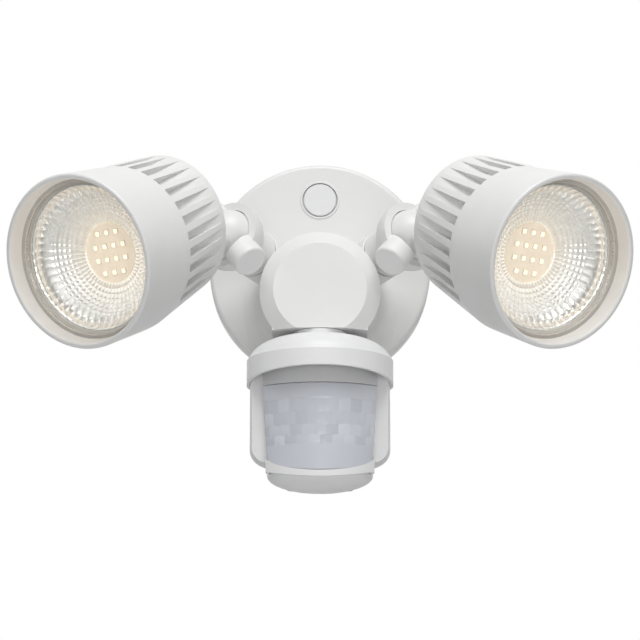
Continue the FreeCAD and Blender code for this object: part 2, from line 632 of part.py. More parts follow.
def fin_groove(angle):
    """Wedge: deep and square at its front end, and run out to nothing at its back."""
    front, along, side, normal = generator(angle)
    if normal.dot(front) < 0:
        normal = normal * -1
    start = front + along * (FIN_START - SEAM - SINK_BAND)
    end = front + along * (FIN_END - SEAM - SINK_BAND)
    corners = [start - normal * FIN_GROOVE_DEPTH, start + normal * 3,
               end + normal * 3, end + normal * 0.02]
    corners = [corner - side * (FIN_GROOVE_W / 2) for corner in corners]
    return Part.Face(Part.makePolygon(corners + [corners[0]])).extrude(side * FIN_GROOVE_W)


def fin_angles():
    """Grooves stand evenly about the top; the underside stays plain."""
    half = (FIN_GROOVES - 1) / 2.0
    return [math.radians(90 + (step - half) * FIN_STEP) for step in range(FIN_GROOVES)]


def heat_sink():
    band = cylinder(SINK_R, V(0, 0, -SEAM - SINK_BAND), Z_AXIS, SINK_BAND)
    body = cone_between((SINK_R, 0, SEAM + SINK_BAND), (SINK_BACK_R, SINK_BACK_RISE, SINK_BACK))
    tail = cone_between((SINK_BACK_R, SINK_BACK_RISE, SINK_BACK), (SINK_END_R, SINK_END_RISE, SINK_END))
    spigot = cylinder(SPIGOT_R, V(0, 0, -SEAM), Z_AXIS, SPIGOT_LEN)
    solid = union([band, body, tail, spigot])
    solid = solid.cut([fin_groove(angle) for angle in fin_angles()])
    plate_seat = SEAM + PLATE_T
    solid = solid.cut(cylinder(SPIGOT_BORE_R, V(0, 0, -plate_seat), Z_AXIS, plate_seat))
    solid = solid.cut(cylinder(SINK_BORE_R, V(0, SINK_END_RISE, -SINK_END + SINK_BACK_T), Z_AXIS,
                               SINK_END - SINK_BACK_T))
    for x, y in carrier_screw_places():
        solid = solid.cut(cylinder(SCREW_R, V(x, y, -plate_seat - CARRIER_BITE), Z_AXIS, CARRIER_BITE + 1))
    stud_at = V(0, HEAD_BALL.y, -SINK_END - 1)
    return solid.cut(cylinder(HEAD_STUD_R, stud_at, Z_AXIS, HEAD_STUD_LEN + 1)).removeSplitter()


def front_housing():
    bore_front = BEZEL_DEPTH + 2 * GASKET_LIP + LENS_T
    outline = [(RIM_R - RIM_LIP, 0), (RIM_R, 0), (SEAM_R, -SEAM), (SPIGOT_R + EASE, -SEAM),
               (SPIGOT_R + EASE, -SEAM + SPIGOT_LEN + JOINT_SEAL_T), (BARREL_BORE_R, -SEAM + SPIGOT_LEN + JOINT_SEAL_T),
               (BARREL_BORE_R, -bore_front), (BEZEL_FLOOR_R, -bore_front), (BEZEL_FLOOR_R, -BEZEL_DEPTH)]
    body = turned(outline)
    lip = [e for e in body.Edges if abs(e.BoundBox.ZMax) < 1e-6 and abs(e.BoundBox.ZMin) < 1e-6]
    return body.makeFillet(1.2, lip)


def lens_gasket():
    front = BEZEL_DEPTH
    back = front + 2 * GASKET_LIP + LENS_T
    outer = BEZEL_FLOOR_R
    front_r, back_r = outer - GASKET_FRONT_W, outer - GASKET_BACK_W
    outline = [(front_r, -front), (outer, -front), (outer, -back), (back_r, -back), (back_r, -back + GASKET_LIP),
               (LENS_R, -back + GASKET_LIP), (LENS_R, -front - GASKET_LIP), (front_r, -front - GASKET_LIP)]
    return turned(outline)


def front_lens():
    return cylinder(LENS_R, V(0, 0, -BEZEL_DEPTH - GASKET_LIP - LENS_T), Z_AXIS, LENS_T)


def joint_seal():
    return tube(SPIGOT_R - 0.2, SPIGOT_BORE_R + 0.6, V(0, 0, -SEAM + SPIGOT_LEN), Z_AXIS, JOINT_SEAL_T)


def reflector():
    top = BEZEL_DEPTH + 2 * GASKET_LIP + LENS_T
    bottom = SEAM - PUCK_T
    steps = 6
    inner = []
    for step in range(steps + 1):
        part = step / float(steps)
        radius = REFLECTOR_HOLE_R + (REFLECTOR_R - REFLECTOR_HOLE_R) * math.sin(part * math.pi / 2) ** 0.85
        inner.append((radius, -bottom + (bottom - top) * part ** 1.35))
    outer = [(r + REFLECTOR_WALL, z) for r, z in inner]
    flange = [(REFLECTOR_FLANGE_R, -top), (REFLECTOR_FLANGE_R, -top - 1.0)]
    outer = [(r, z) for r, z in outer if r < REFLECTOR_FLANGE_R - 0.4 and z < -top - 1.2]
    return turned(inner + flange + outer[::-1])


def carrier_plate():
    plate = cylinder(SPIGOT_BORE_R - EASE, V(0, 0, -SEAM - PLATE_T), Z_AXIS, PLATE_T)
    plate = plate.cut(cylinder(2.6, V(0, -PUCK_R - 4, -SEAM - PLATE_T - 1), Z_AXIS, PLATE_T + 2))
    for x, y in carrier_screw_places():
        plate = plate.cut(cylinder(SCREW_R + EASE, V(x, y, -SEAM - PLATE_T - 1), Z_AXIS, PLATE_T + 2))
    return plate


def carrier_screw_places():
    reach = (SINK_BORE_R + SPIGOT_BORE_R) / 2 + 0.5
    return [(reach * math.cos(math.radians(a)), reach * math.sin(math.radians(a))) for a in (90, 210, 330)]


def carrier_screws():
    return [screw(V(x, y, -SEAM), Z_AXIS * -1, PLATE_T + CARRIER_BITE, head_r=2.2, head_t=1.4)
            for x, y in carrier_screw_places()]


def led_board():
    return cylinder(PUCK_R, V(0, 0, -SEAM), Z_AXIS, PUCK_T)


def led_chips():
    chips = []
    z0 = -SEAM + PUCK_T
    for row, count in enumerate(CHIP_ROWS):
        y = (len(CHIP_ROWS) - 1 - 2 * row) / 2.0 * CHIP_PITCH_Y
        for column in range(count):
            x = (2 * column - count + 1) / 2.0 * CHIP_PITCH_X
            half = CHIP_SIZE / 2
            chips.append(span((x - half, x + half), (y - half, y + half), (z0, z0 + CHIP_T)))
    return chips


def head_knuckle():
    """Ball, arm and flange, with a threaded stud into the heat sink's back."""
    rear = -SINK_END
    ball = Part.makeSphere(BALL_R, HEAD_BALL)
    arm = cylinder(HEAD_ARM_R, HEAD_BALL, Z_AXIS, rear - HEAD_BALL.z)
    neck_len = 9.0
    flare = Part.makeCone(HEAD_ARM_R, HEAD_FLANGE_R - 0.6, neck_len,
                          V(0, HEAD_BALL.y, rear - HEAD_FLANGE_T - neck_len), Z_AXIS)
    flange = cylinder(HEAD_FLANGE_R, V(0, HEAD_BALL.y, rear - HEAD_FLANGE_T), Z_AXIS, HEAD_FLANGE_T)
    stud = cylinder(HEAD_STUD_R, V(0, HEAD_BALL.y, rear), Z_AXIS, HEAD_STUD_LEN)
    body = union([ball, arm, flare, flange, stud])
    pin_hole = cylinder(PIVOT_R + SLIDE, HEAD_BALL - HEAD_PIVOT * 40, HEAD_PIVOT, 80)
    sideways = HEAD_PIVOT.cross(Z_AXIS).normalize() * HEAD_WIRE_OFFSET
    wire_hole = cylinder(HEAD_WIRE_R, HEAD_BALL + sideways - Z_AXIS * 30, Z_AXIS, 30 + rear - HEAD_BALL.z - HEAD_FLANGE_T)
    stud_hole = cylinder(WIRE_R, V(0, HEAD_BALL.y, rear - HEAD_FLANGE_T - 4), Z_AXIS, HEAD_STUD_LEN + 20)
    return body.cut([pin_hole, wire_hole, stud_hole]).removeSplitter()


# -------------------------------------------------------------------- sensor
def sensor_neck():
    """Turned neck: a ring under the drum, and a threaded stem through drum, hood and housing."""
    bottom = TUB_TOP_Z - TUB_WALL
    top = SEAT_Z + DRUM_WALL + NECK_NUT_T + 1.5
    neck = cylinder(NECK_R, NECK_AXIS + V(0, 0, HOOD_TOP_Z), Z_AXIS, NECK_LEN)
    stem = cylinder(NECK_STEM_R, NECK_AXIS + V(0, 0, bottom), Z_AXIS, top - bottom)
    return neck.fuse(stem).removeSplitter().cut(cylinder(WIRE_R, NECK_AXIS + V(0, 0, bottom - 1), Z_AXIS, 80))


def neck_nut():
    nut = lock_nut(NECK_NUT_R, NECK_STEM_R, NECK_NUT_T)
    nut.translate(NECK_AXIS + V(0, 0, SEAT_Z + DRUM_WALL))
    return nut


def dome_solid(shrink, band_bottom):
    """Hood's outside, or its inside when shrunk: part of an ellipse, a crease, and an upright band."""
    inset, radius, top_z = NECK_R - 1.5, HOOD_R - shrink, HOOD_TOP_Z - shrink
    centre = V(inset, 0, top_z - DOME_SEMI + shrink)
    across, up = radius - DOME_EDGE - inset, DOME_SEMI - shrink
    ellipse = Part.Ellipse(centre + V(across, 0, 0), centre + V(0, 0, up), centre)
    crease = math.radians(DOME_CREASE)
    edge = centre + V(across * math.cos(crease), 0, up * math.sin(crease))
    shoulder = V(radius, 0, BAND_TOP_Z + shrink / 2)
    base, axis_top, crown = V(radius, 0, band_bottom), V(0, 0, top_z), V(inset, 0, top_z)
    foot = V(0, 0, band_bottom)
    edges = [Part.makeLine(foot, base), Part.makeLine(base, shoulder), Part.makeLine(shoulder, edge),
             Part.Arc(ellipse, crease, math.pi / 2).toShape(), Part.makeLine(crown, axis_top),
             Part.makeLine(axis_top, foot)]
    solid = Part.Face(Part.Wire(edges)).revolve(ORIGIN, Z_AXIS, 360)
    solid.translate(NECK_AXIS)
    return solid


def sensor_hood():
    lowest = BAND_TOP_Z - HOOD_BAND
    hood = dome_solid(0, lowest).cut(dome_solid(HOOD_WALL, lowest - 5))
    rake = Part.makeBox(200, 100, 40, V(-100, -100, -40))
    rake.rotate(ORIGIN, X_AXIS, -HOOD_RAKE)
    rake.translate(NECK_AXIS + V(0, 0, lowest))
    hood = hood.cut(rake)
    return hood.cut(cylinder(NECK_STEM_R, NECK_AXIS + V(0, 0, HOOD_TOP_Z - 10), Z_AXIS, 20))


def tub_plan(radius, front_y):
    chord = math.sqrt(radius ** 2 - (front_y - NECK_Y) ** 2)
    left, right = V(-chord, front_y, 0), V(chord, front_y, 0)
    back = V(0, NECK_Y + radius, 0)
    return Part.Face(Part.Wire([Part.Arc(left, back, right).toShape(), Part.makeLine(right, left)]))


def extrude_down(face, top_z, length):
    face = face.copy()
    face.translate(V(0, 0, top_z))
    return face.extrude(V(0, 0, -length))


def plinth_solid(shrink, top_z, length):
    ellipse = Part.Ellipse(V(PLINTH_HALF - shrink, PLINTH_Y, 0), V(0, PLINTH_Y + PLINTH_DEPTH_HALF - shrink, 0),
                           V(0, PLINTH_Y, 0))
    return extrude_down(Part.Face(Part.Wire(ellipse.toShape())), top_z, length)


def sensor_tub():
    """Rear shell of the sensor, with a hub under the hood and a skirt down to the base."""
    outside = extrude_down(tub_plan(TUB_R, TUB_FRONT_Y), TUB_TOP_Z, TUB_LEN)
    lower = [e for e in outside.Edges if e.BoundBox.ZMax < TUB_BOTTOM_Z + 1e-6 and e.Length > 3 * TUB_R]
    outside = outside.makeFillet(TUB_EDGE_R, lower)
    hub_top = HOOD_TOP_Z - HOOD_WALL
    hub = cylinder(NECK_R - HOOD_WALL, NECK_AXIS + V(0, 0, TUB_TOP_Z - 0.5), Z_AXIS, hub_top - TUB_TOP_Z + 0.5)
    inside = extrude_down(tub_plan(TUB_R - TUB_WALL, TUB_FRONT_Y + TUB_WALL), TUB_TOP_Z - TUB_WALL,
                          TUB_LEN - 2 * TUB_WALL)
    low = [e for e in inside.Edges if e.BoundBox.ZMax < TUB_BOTTOM_Z + TUB_WALL + 1e-6 and e.Length > 3 * TUB_R]
    inside = inside.makeFillet(TUB_EDGE_R - TUB_WALL, low)
    skirt = plinth_solid(0, TUB_BOTTOM_Z + TUB_EDGE_R, PLINTH_LEN + TUB_EDGE_R)
    skirt = skirt.common(span((-60, 60), (TUB_FRONT_Y, 60), (-400, 0)))
    well = plinth_solid(TUB_WALL, TUB_BOTTOM_Z + TUB_WALL + 1, PLINTH_LEN + TUB_WALL + 2)
    opening = span((-SENSOR_OPENING_HALF, SENSOR_OPENING_HALF), (TUB_FRONT_Y - 1, TUB_FRONT_Y + TUB_WALL + 1),
                   (WINDOW_BOTTOM_Z + WINDOW_BOW, WINDOW_TOP_Z))
    body = union([outside, hub, skirt]).cut([inside, well, opening])
    return body.cut(cylinder(NECK_STEM_R, NECK_AXIS + V(0, 0, TUB_TOP_Z - 20), Z_AXIS, 40)).removeSplitter()


def front_plan(half, side, out, z):
    """Plan of the lens unit: straight sides, and a front on one arc."""
    side_y, back_y = NECK_Y - side, TUB_FRONT_Y
    left, right = V(-half, side_y, z), V(half, side_y, z)
    back_left, back_right = V(-half, back_y, z), V(half, back_y, z)
    return Part.Wire([Part.makeLine(back_left, left), Part.Arc(left, V(0, NECK_Y - out, z), right).toShape(),
                      Part.makeLine(right, back_right), Part.makeLine(back_right, back_left)])


def front_solid(shrink, top_z, bottom_z):
    """The lens unit between two heights, narrower towards the chin."""
    wires = []
    for z in (top_z, bottom_z):
        taper = FRONT_TAPER * (WINDOW_TOP_Z - z) / (WINDOW_TOP_Z - CHIN_Z)
        wires.append(front_plan(FRONT_HALF - taper - shrink, FRONT_SIDE - shrink / 2, FRONT_OUT - shrink, z))
    return Part.makeLoft(wires, True, True)


def window_block(inset):
    """Everything in front of the window's opening, or of the lens when inset."""
    half, wide, far = FRONT_HALF - FRONT_TAPER + 0.6 - inset, 50, -200
    low = WINDOW_BOTTOM_Z + WINDOW_BOW
    top = WINDOW_TOP_Z - inset
    centre = V(0, far, low)
    bow = Part.Ellipse(centre + V(half, 0, 0), centre + V(0, 0, WINDOW_BOW - inset), centre)
    arc = Part.Arc(bow, math.pi, 2 * math.pi).toShape()
    if arc.valueAt((arc.FirstParameter + arc.LastParameter) / 2).z > low:
        arc = Part.Arc(bow, 0, math.pi).toShape()
    corners = [V(half, far, low), V(wide, far, low), V(wide, far, top), V(-wide, far, top),
               V(-wide, far, low), V(-half, far, low)]
    lines = [Part.makeLine(a, b) for a, b in zip(corners[:-1], corners[1:])]
    face = Part.Face(Part.Wire(Part.sortEdges([arc] + lines)[0]))
    return face.extrude(V(0, NECK_Y - WINDOW_BACK - inset - far, 0))


def under_chin(drop):
    """Everything below the chin's bowed lower edge."""
    half, wide, far, deep = FRONT_HALF - FRONT_TAPER, 50, -200, -300
    edge_z, low_z = CHIN_Z + CHIN_BOW - drop, CHIN_Z - drop
    left, right = V(-half, far, edge_z), V(half, far, edge_z)
    corners = [right, V(wide, far, edge_z), V(wide, far, deep), V(-wide, far, deep), V(-wide, far, edge_z), left]
    lines = [Part.makeLine(a, b) for a, b in zip(corners[:-1], corners[1:])]
    arc = Part.Arc(left, V(0, far, low_z), right).toShape()
    return Part.Face(Part.Wire([arc] + lines)).extrude(V(0, 400, 0))


def lens_frame():
    """Front shell of the sensor: the brow above the window, narrow sides and the chin below."""
    brow_top = front_plan(FRONT_HALF, TUB_FRONT + 1.2, BROW_OUT, BROW_TOP_Z)
    brow_low = front_plan(FRONT_HALF, FRONT_SIDE, FRONT_OUT, WINDOW_TOP_Z)
    brow = Part.makeLoft([brow_top, brow_low], True, True)
    wall = front_solid(0, WINDOW_TOP_Z, CHIN_Z - 2)
    hollow = front_solid(FRONT_WALL, WINDOW_TOP_Z + 2.5, CHIN_Z - 4)
    return union([brow, wall]).cut([hollow, window_block(0), under_chin(0)])


def fresnel_lens():
    shell = front_solid(0, WINDOW_TOP_Z, CHIN_Z).cut(front_solid(FRESNEL_T, WINDOW_TOP_Z + 1, CHIN_Z - 1))
    return shell.common(window_block(FRESNEL_SIDE_GAP))


def sensor_base():
    """Lower cover: half an ellipsoid, let in behind the chin, with three wells for the dials."""
    ball = Part.makeSphere(1.0)
    matrix = FreeCAD.Matrix()
    matrix.scale(V(PLINTH_HALF, PLINTH_DEPTH_HALF, BASE_DROP))
    base = ball.transformGeometry(matrix).common(span((-60, 60), (-60, 60), (-60, 0)))
    base.translate(V(0, PLINTH_Y, PLINTH_Z))
    rim = front_solid(-2, PLINTH_Z + 1, CHIN_Z - 4).cut(front_solid(FRONT_WALL + EASE, PLINTH_Z + 2, CHIN_Z - 5))
    base = base.cut(rim.cut(under_chin(EASE)))
    for x, y in dial_places():
        base = base.cut(cylinder(DIAL_R + FREE, V(x, y, -400), Z_AXIS, 400 + PLINTH_Z - 2.0))
        base = base.cut(cylinder(DIAL_SHAFT_R + SLIDE, V(x, y, -400), Z_AXIS, 500))
    return base


def dial_places():
    return [(step * DIAL_SPACING, NECK_Y + DIAL_BACK) for step in (-1, 0, 1)]


def dial(x, y):
    top = PLINTH_Z - 2.0 - 0.1
    knob = cylinder(DIAL_R, V(x, y, top - DIAL_LEN), Z_AXIS, DIAL_LEN)
    shaft = cylinder(DIAL_SHAFT_R, V(x, y, top), Z_AXIS, 2.1 + 4.0)
    slot = span((x - DIAL_R + 0.6, x + DIAL_R - 0.6), (y - 0.6, y + 0.6), (top - DIAL_LEN - 1, top - DIAL_LEN + 1.2))
    return union([knob, shaft]).cut(slot)


def trim_pots():
    pots = []
    for x, y in dial_places():
        pot = span((x - POT_HALF, x + POT_HALF), (y - POT_HALF, y + POT_HALF), (PLINTH_Z, PLINTH_Z + POT_T))
        pots.append(pot.cut(cylinder(DIAL_SHAFT_R + SLIDE, V(x, y, PLINTH_Z - 1), Z_AXIS, 20)))
    return pots


def sensor_board():
    front, top = TUB_FRONT_Y + TUB_WALL, WINDOW_TOP_Z + SENSOR_BOARD_RISE
    return span((-SENSOR_BOARD_HALF, SENSOR_BOARD_HALF), (front, front + BOARD_T), (top - SENSOR_BOARD_LEN, top))


def pir_detector():
    place = V(0, TUB_FRONT_Y + TUB_WALL, WINDOW_TOP_Z - PIR_DROP)
    return union([cylinder(PIR_R, place, OUT, PIR_LEN), cylinder(PIR_R + 0.6, place, OUT, 0.6)])


def export_side(side, shapes, placement):
    for name, shape in shapes:
        shape = placed(shape, placement)
        if side == "left":
            shape = mirrored(shape)
        export("%s_%s" % (side, name), shape)


def arm_pieces():
    return [("swivel_cup", swivel_cup()), ("swivel_seal", swivel_seal()), ("swivel_nut", swivel_nut()),
            ("pivot_screw", pivot_screw()), ("pivot_nut", pivot_nut()),
            ("pivot_caps", Part.makeCompound(pivot_caps()))]


def head_pieces():
    return [("head_knuckle", head_knuckle()), ("heat_sink", heat_sink()),
            ("front_housing", front_housing()), ("joint_seal", joint_seal()), ("lens_gasket", lens_gasket()),
            ("front_lens", front_lens()), ("reflector", reflector()), ("carrier_plate", carrier_plate()),
            ("carrier_screws", Part.makeCompound(carrier_screws())),
            ("led_board", led_board()), ("led_chips", Part.makeCompound(led_chips()))]


def main():
    os.makedirs("parts", exist_ok=True)
    export("canopy_housing", canopy_housing())
    export("wall_seal", wall_seal())
    export("top_plug", top_plug())
    export("canopy_screw", canopy_screw())
    export("mounting_plate", mounting_plate())
    export("ground_screw", ground_screw())
    export("driver_cover", driver_cover())
    export("cable_grommet", cable_grommet())
    export("driver_board", driver_board())
    export("driver_screws", Part.makeCompound(driver_screws()))
    export("driver_transformer", driver_transformer())
    export("driver_capacitors", Part.makeCompound(driver_capacitors()))
    for side in ("left", "right"):
        export_side(side, arm_pieces(), ARM_FRAME)
        export_side(side, head_pieces(), HEAD_FRAME)
    export("sensor_neck", sensor_neck())
    export("neck_nut", neck_nut())
    export("sensor_hood", sensor_hood())
    export("sensor_tub", sensor_tub())
    export("lens_frame", lens_frame())
    export("fresnel_lens", fresnel_lens())
    export("sensor_base", sensor_base())
    export("sensor_board", sensor_board())
    export("pir_detector", pir_detector())
    export("trim_pots", Part.makeCompound(trim_pots()))
    for name, (x, y) in zip(("time_dial", "light_dial", "range_dial"), dial_places()):
        export(name, dial(x, y))
    print("arm axis", ARM_DIR, "ball", BALL_CENTRE, "pivot", PIVOT_DIR, "lamp axis", HEAD_DIR)


main()
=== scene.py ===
import json
import math

import bmesh
import bpy
import numpy as np
from mathutils import Matrix, Vector


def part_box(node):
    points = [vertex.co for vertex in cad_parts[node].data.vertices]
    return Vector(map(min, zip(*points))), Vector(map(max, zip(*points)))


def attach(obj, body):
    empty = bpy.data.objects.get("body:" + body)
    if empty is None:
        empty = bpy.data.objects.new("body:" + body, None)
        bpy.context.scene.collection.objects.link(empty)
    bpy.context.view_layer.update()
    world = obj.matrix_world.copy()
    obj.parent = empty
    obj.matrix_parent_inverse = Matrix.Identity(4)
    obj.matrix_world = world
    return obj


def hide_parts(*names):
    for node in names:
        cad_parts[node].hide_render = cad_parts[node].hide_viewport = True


# Looks of an outdoor security light: two lit lamp heads and a motion sensor on
# a round canopy. Metres, in the frame's own axes: the wall is the plane y = 0,
# -Y points into the room and +Z is up.

MM = 0.001
SIDES = ("left", "right")
Z_AXIS = Vector((0, 0, 1))
WELD = 0.001 * MM           # points this close are one
RING_STEPS = 144

# ------------------------------------------------------------------- camera
EYE_BELOW = 12.5            # degrees that the eye is below level
EYE_DISTANCE = 1.300
AIM = Vector((0, -0.011, -0.0273))
SENSOR_WIDTH = 36.0
LENS = 133.4

# ------------------------------------------------------------------- studio
SOFTBOX_TOP = (0.1, -0.85, 1.15)
SOFTBOX_TOP_SIZE = 0.9
SOFTBOX_TOP_POWER = 14.5
SOFTBOX_FRONT = (0.1, -1.9, -0.35)
SOFTBOX_FRONT_SIZE = 0.8
SOFTBOX_FRONT_POWER = 6.5
SOFTBOX_TARGET = (0, -0.09, -0.03)
SURROUND_SEEN = 1.0         # strength of the white that shows and is mirrored
SURROUND_LIGHT = 0.25       # strength of the light that it gives
FLOOR_HALF = 4.0
FLOOR_Z = -0.46

# ---------------------------------------------------------- reflector facets
DISH_SPOKES = 60
DISH_RINGS = 7              # of small facets, inside the ring of long ones
SMALL_FACET_SHARE = 0.50    # of the dish's outline
FACET_BULGE = 0.075         # of a facet's width
FACET_CUTS = 4
FACET_SHARP = 16            # degrees between facets that show as an edge
DISH_WALL = 0.6 * MM
DISH_EASE = 0.1 * MM        # between the dish and the edge of its flange
DISH_RADIUS_POWER = 0.85
DISH_HEIGHT_POWER = 1.35
DISH_STEP = 0.01            # share of the outline over which its slope is taken
PAINTED_GLOW_POWER = 1.4            # how fast the painted glow fades towards the dish's mouth

# ------------------------------------------------------------------ LED chips
CHIP_ROWS = (3, 4, 4, 3)
CHIP_PITCH = (5.6 * MM, 6.6 * MM)
CHIP_SIZE = 2.8 * MM
CHIP_HEIGHT = 0.7 * MM
CHIP_RIM = 0.45 * MM
WELL_FLOOR = 0.6            # of the chip's height
WELL_LIFT = 0.05            # of the chip's height, from the well's floor to the phosphor
CORNERS = 4

# ----------------------------------------------------------------- chip light
CHIP_LIGHT_POWER = 0.014    # watts
CHIP_LIGHT_COLOUR = (1.0, 0.82, 0.58)
CHIP_LIGHT_SIZE = 8 * MM
CHIP_LIGHT_OUT = 22 * MM    # in front of the board

# ------------------------------------------------------------- gasket and seal
GASKET_RIBS = 3
GASKET_OVER_LENS = 0.8 * MM
GASKET_RIB = 0.74           # of a rib's pitch: the flat top
GASKET_RIB_FOOT = 0.78      # of a rib's pitch: the flank's foot
GASKET_GROOVE_END = 0.96    # of a rib's pitch: the groove's far side
GASKET_GROOVE_Z = 0.1 * MM  # groove's floor above the lens
GASKET_GAP = 0.02 * MM      # between gasket and lens
GASKET_SHARP = 30           # degrees
# The real black seal is swollen out past its groove so that its black fills the gap where shade falls between
# boss and cup.
SEAL_SWELL = 0.4 * MM
SEAL_EDGE = 0.2 * MM

# ------------------------------------------------------------- sensor window
WINDOW_STEP = 0.55 * MM
WINDOW_COLUMNS = 11
WINDOW_BAND = 8.0 * MM      # plain strip above the rows
WINDOW_ROWS = (7.0 * MM, 6.6 * MM, 5.6 * MM, 4.6 * MM)
WINDOW_BULGE = 0.26 * MM
WINDOW_SIDE = 11.5 * MM     # depth of its curved front
WINDOW_EASE = 0.45 * MM     # between its corners and the sides of its frame
WINDOW_WALL = 1.4 * MM
WINDOW_SIDE_BAND = 3.2 * MM     # the CAD window's sides lie this near its greatest width
WINDOW_CORNER_BAND = 0.5 * MM   # and its corners this near the sides' lowest point
TONE_COLUMN, TONE_ROW, TONE_SCATTER = 12.9, 78.2, 437.5     # scatter the facets' greys
PLAIN_TONE = 0.5

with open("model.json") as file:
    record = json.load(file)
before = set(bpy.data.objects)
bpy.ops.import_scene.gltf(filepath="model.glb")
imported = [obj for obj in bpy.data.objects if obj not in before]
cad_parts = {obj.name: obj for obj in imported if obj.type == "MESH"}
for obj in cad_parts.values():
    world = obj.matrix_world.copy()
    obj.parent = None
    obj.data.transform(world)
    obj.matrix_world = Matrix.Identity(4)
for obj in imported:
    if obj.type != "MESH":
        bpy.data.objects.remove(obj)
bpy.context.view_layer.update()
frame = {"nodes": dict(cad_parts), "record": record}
NODES = frame["nodes"]


# -------------------------------------------------------------- mesh helpers
def middle(node):
    low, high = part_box(node)
    return (low + high) / 2


def axis_frame(origin, axis):
    """Matrix with its origin at a point and its local Z along an axis."""
    axis = axis.normalized()
    level = Z_AXIS.cross(axis).normalized()
    matrix = Matrix((level, axis.cross(level), axis)).transposed().to_4x4()
    matrix.translation = origin
    return matrix


def lamp_frame(side):
    """Matrix of a lamp head: origin at the middle of its LED board, local Z out of the lamp."""
    board, glass = middle(side + "_led_board"), middle(side + "_front_lens")
    return axis_frame(board, glass - board)


def turned_extent(node, matrix):
    """Least and greatest radius about local Z, and lowest and highest z, of a CAD node."""
    inverse = matrix.inverted()
    points = [inverse @ vertex.co for vertex in NODES[node].data.vertices]
    radii = [math.hypot(p.x, p.y) for p in points]
    heights = [p.z for p in points]
    return min(radii), max(radii), min(heights), max(heights)


def add_object(name, data):
    made = bpy.data.objects.new(name, data)
    bpy.context.scene.collection.objects.link(made)
    return made


def piece(name, points, faces, material, body, smooth=True):
    mesh = bpy.data.meshes.new(name)
    mesh.from_pydata([tuple(p) for p in points], [], faces)
    mesh.materials.append(material)
    mesh.polygons.foreach_set("use_smooth", [smooth] * len(mesh.polygons))
    made = add_object(name, mesh)
    clean = bmesh.new()
    clean.from_mesh(mesh)
    bmesh.ops.remove_doubles(clean, verts=clean.verts, dist=WELD)
    bmesh.ops.recalc_face_normals(clean, faces=clean.faces)
    clean.to_mesh(mesh)
    clean.free()
    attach(made, body)
    return made


def thicken(sheet, thickness):
    """Gives a sheet a wall behind its face."""
    wall = sheet.modifiers.new("wall", "SOLIDIFY")
    wall.thickness = thickness
    wall.offset = -1.0


def grid_faces(rows, columns, closed=False, start=0):
    """Quads of a grid of points stored row by row. A closed grid joins its last column to its first."""
    faces = []
    for row in range(rows - 1):
        for column in range(columns if closed else columns - 1):
            after = (column + 1) % columns
            here, above = start + row * columns, start + (row + 1) * columns
            faces.append((here + column, here + after, above + after, above + column))
    return faces


def ring_shell(name, outline, matrix, material, body):
    """Closed body of revolution about the matrix's Z, from a closed (radius, z) outline."""
    points = []
    for radius, z in outline + outline[:1]:
        for step in range(RING_STEPS):
            angle = 2 * math.pi * step / RING_STEPS
            points.append(matrix @ Vector((radius * math.cos(angle), radius * math.sin(angle), z)))
    return piece(name, points, grid_faces(len(outline) + 1, RING_STEPS, closed=True), material, body)


# ---------------------------------------------------------- material helpers
class Paint:
    """One Principled material, with short calls for the nodes in front of it."""

    def __init__(self, name, colour, roughness, metallic=0.0, **sockets):
        self.material = bpy.data.materials.new(name)
        self.material.use_nodes = True
        self.tree = self.material.node_tree
        self.shader = self.tree.nodes["Principled BSDF"]
        self.shader.inputs["Base Color"].default_value = (*colour, 1)
        self.shader.inputs["Roughness"].default_value = roughness
        self.shader.inputs["Metallic"].default_value = metallic
        for socket, value in sockets.items():
            self.shader.inputs[socket.replace("_", " ")].default_value = value
        self.place = self.add("ShaderNodeTexCoord").outputs["Object"]

    def add(self, kind, **settings):
        node = self.tree.nodes.new(kind)
        for key, value in settings.items():
            setattr(node, key, value)
        return node

    def link(self, output, target):
        if isinstance(target, str):
            target = self.shader.inputs[target]
        self.tree.links.new(output, target)

    def stretched(self, scale):
        mapping = self.add("ShaderNodeMapping")
        mapping.inputs["Scale"].default_value = scale
        self.link(self.place, mapping.inputs["Vector"])
        return mapping.outputs["Vector"]

    def noise(self, size, detail=2.0, place=None):
        """Cloudy pattern whose lumps are about size across."""
        node = self.add("ShaderNodeTexNoise")
        node.inputs["Scale"].default_value = 1 / size
        node.inputs["Detail"].default_value = detail
        self.link(place or self.place, node.inputs["Vector"])
        return node.outputs["Fac"]

    def cells(self, size):
        node = self.add("ShaderNodeTexVoronoi")
        node.inputs["Scale"].default_value = 1 / size
        self.link(self.place, node.inputs["Vector"])
        return node.outputs["Distance"]

    def spread(self, value, low, high, start=0.3, end=0.7):
        """The pattern's start to end as the numbers low to high."""
        node = self.add("ShaderNodeMapRange")
        for socket, number in zip(("From Min", "From Max", "To Min", "To Max"), (start, end, low, high)):
            node.inputs[socket].default_value = number
        self.link(value, node.inputs["Value"])
        return node.outputs["Result"]

    def blend(self, value, first, second):
        node = self.add("ShaderNodeMix", data_type="RGBA")
        node.inputs["A"].default_value = (*first, 1)
        node.inputs["B"].default_value = (*second, 1)
        self.link(value, node.inputs["Factor"])
        return node.outputs["Result"]

    def relief(self, height, depth, under=None):
        node = self.add("ShaderNodeBump")
        node.inputs["Distance"].default_value = depth
        self.link(height, node.inputs["Height"])
        if under is not None:
            self.link(under, node.inputs["Normal"])
        return node.outputs["Normal"]

    def patches(self, first, second, patch, rough):
        """Colour that drifts over patches, and uneven gloss."""
        self.link(self.blend(self.spread(self.noise(patch, 4.0), 0, 1), first, second), "Base Color")
        self.link(self.spread(self.noise(patch / 3, 3.0), rough[0], rough[1]), "Roughness")

    def finish(self, first, second, patch, rough, grain, depth):
        """Patches of colour and gloss over a fine grain in the surface."""
        self.patches(first, second, patch, rough)
        self.link(self.relief(self.noise(grain, 1.0), depth), "Normal")
        return self.material


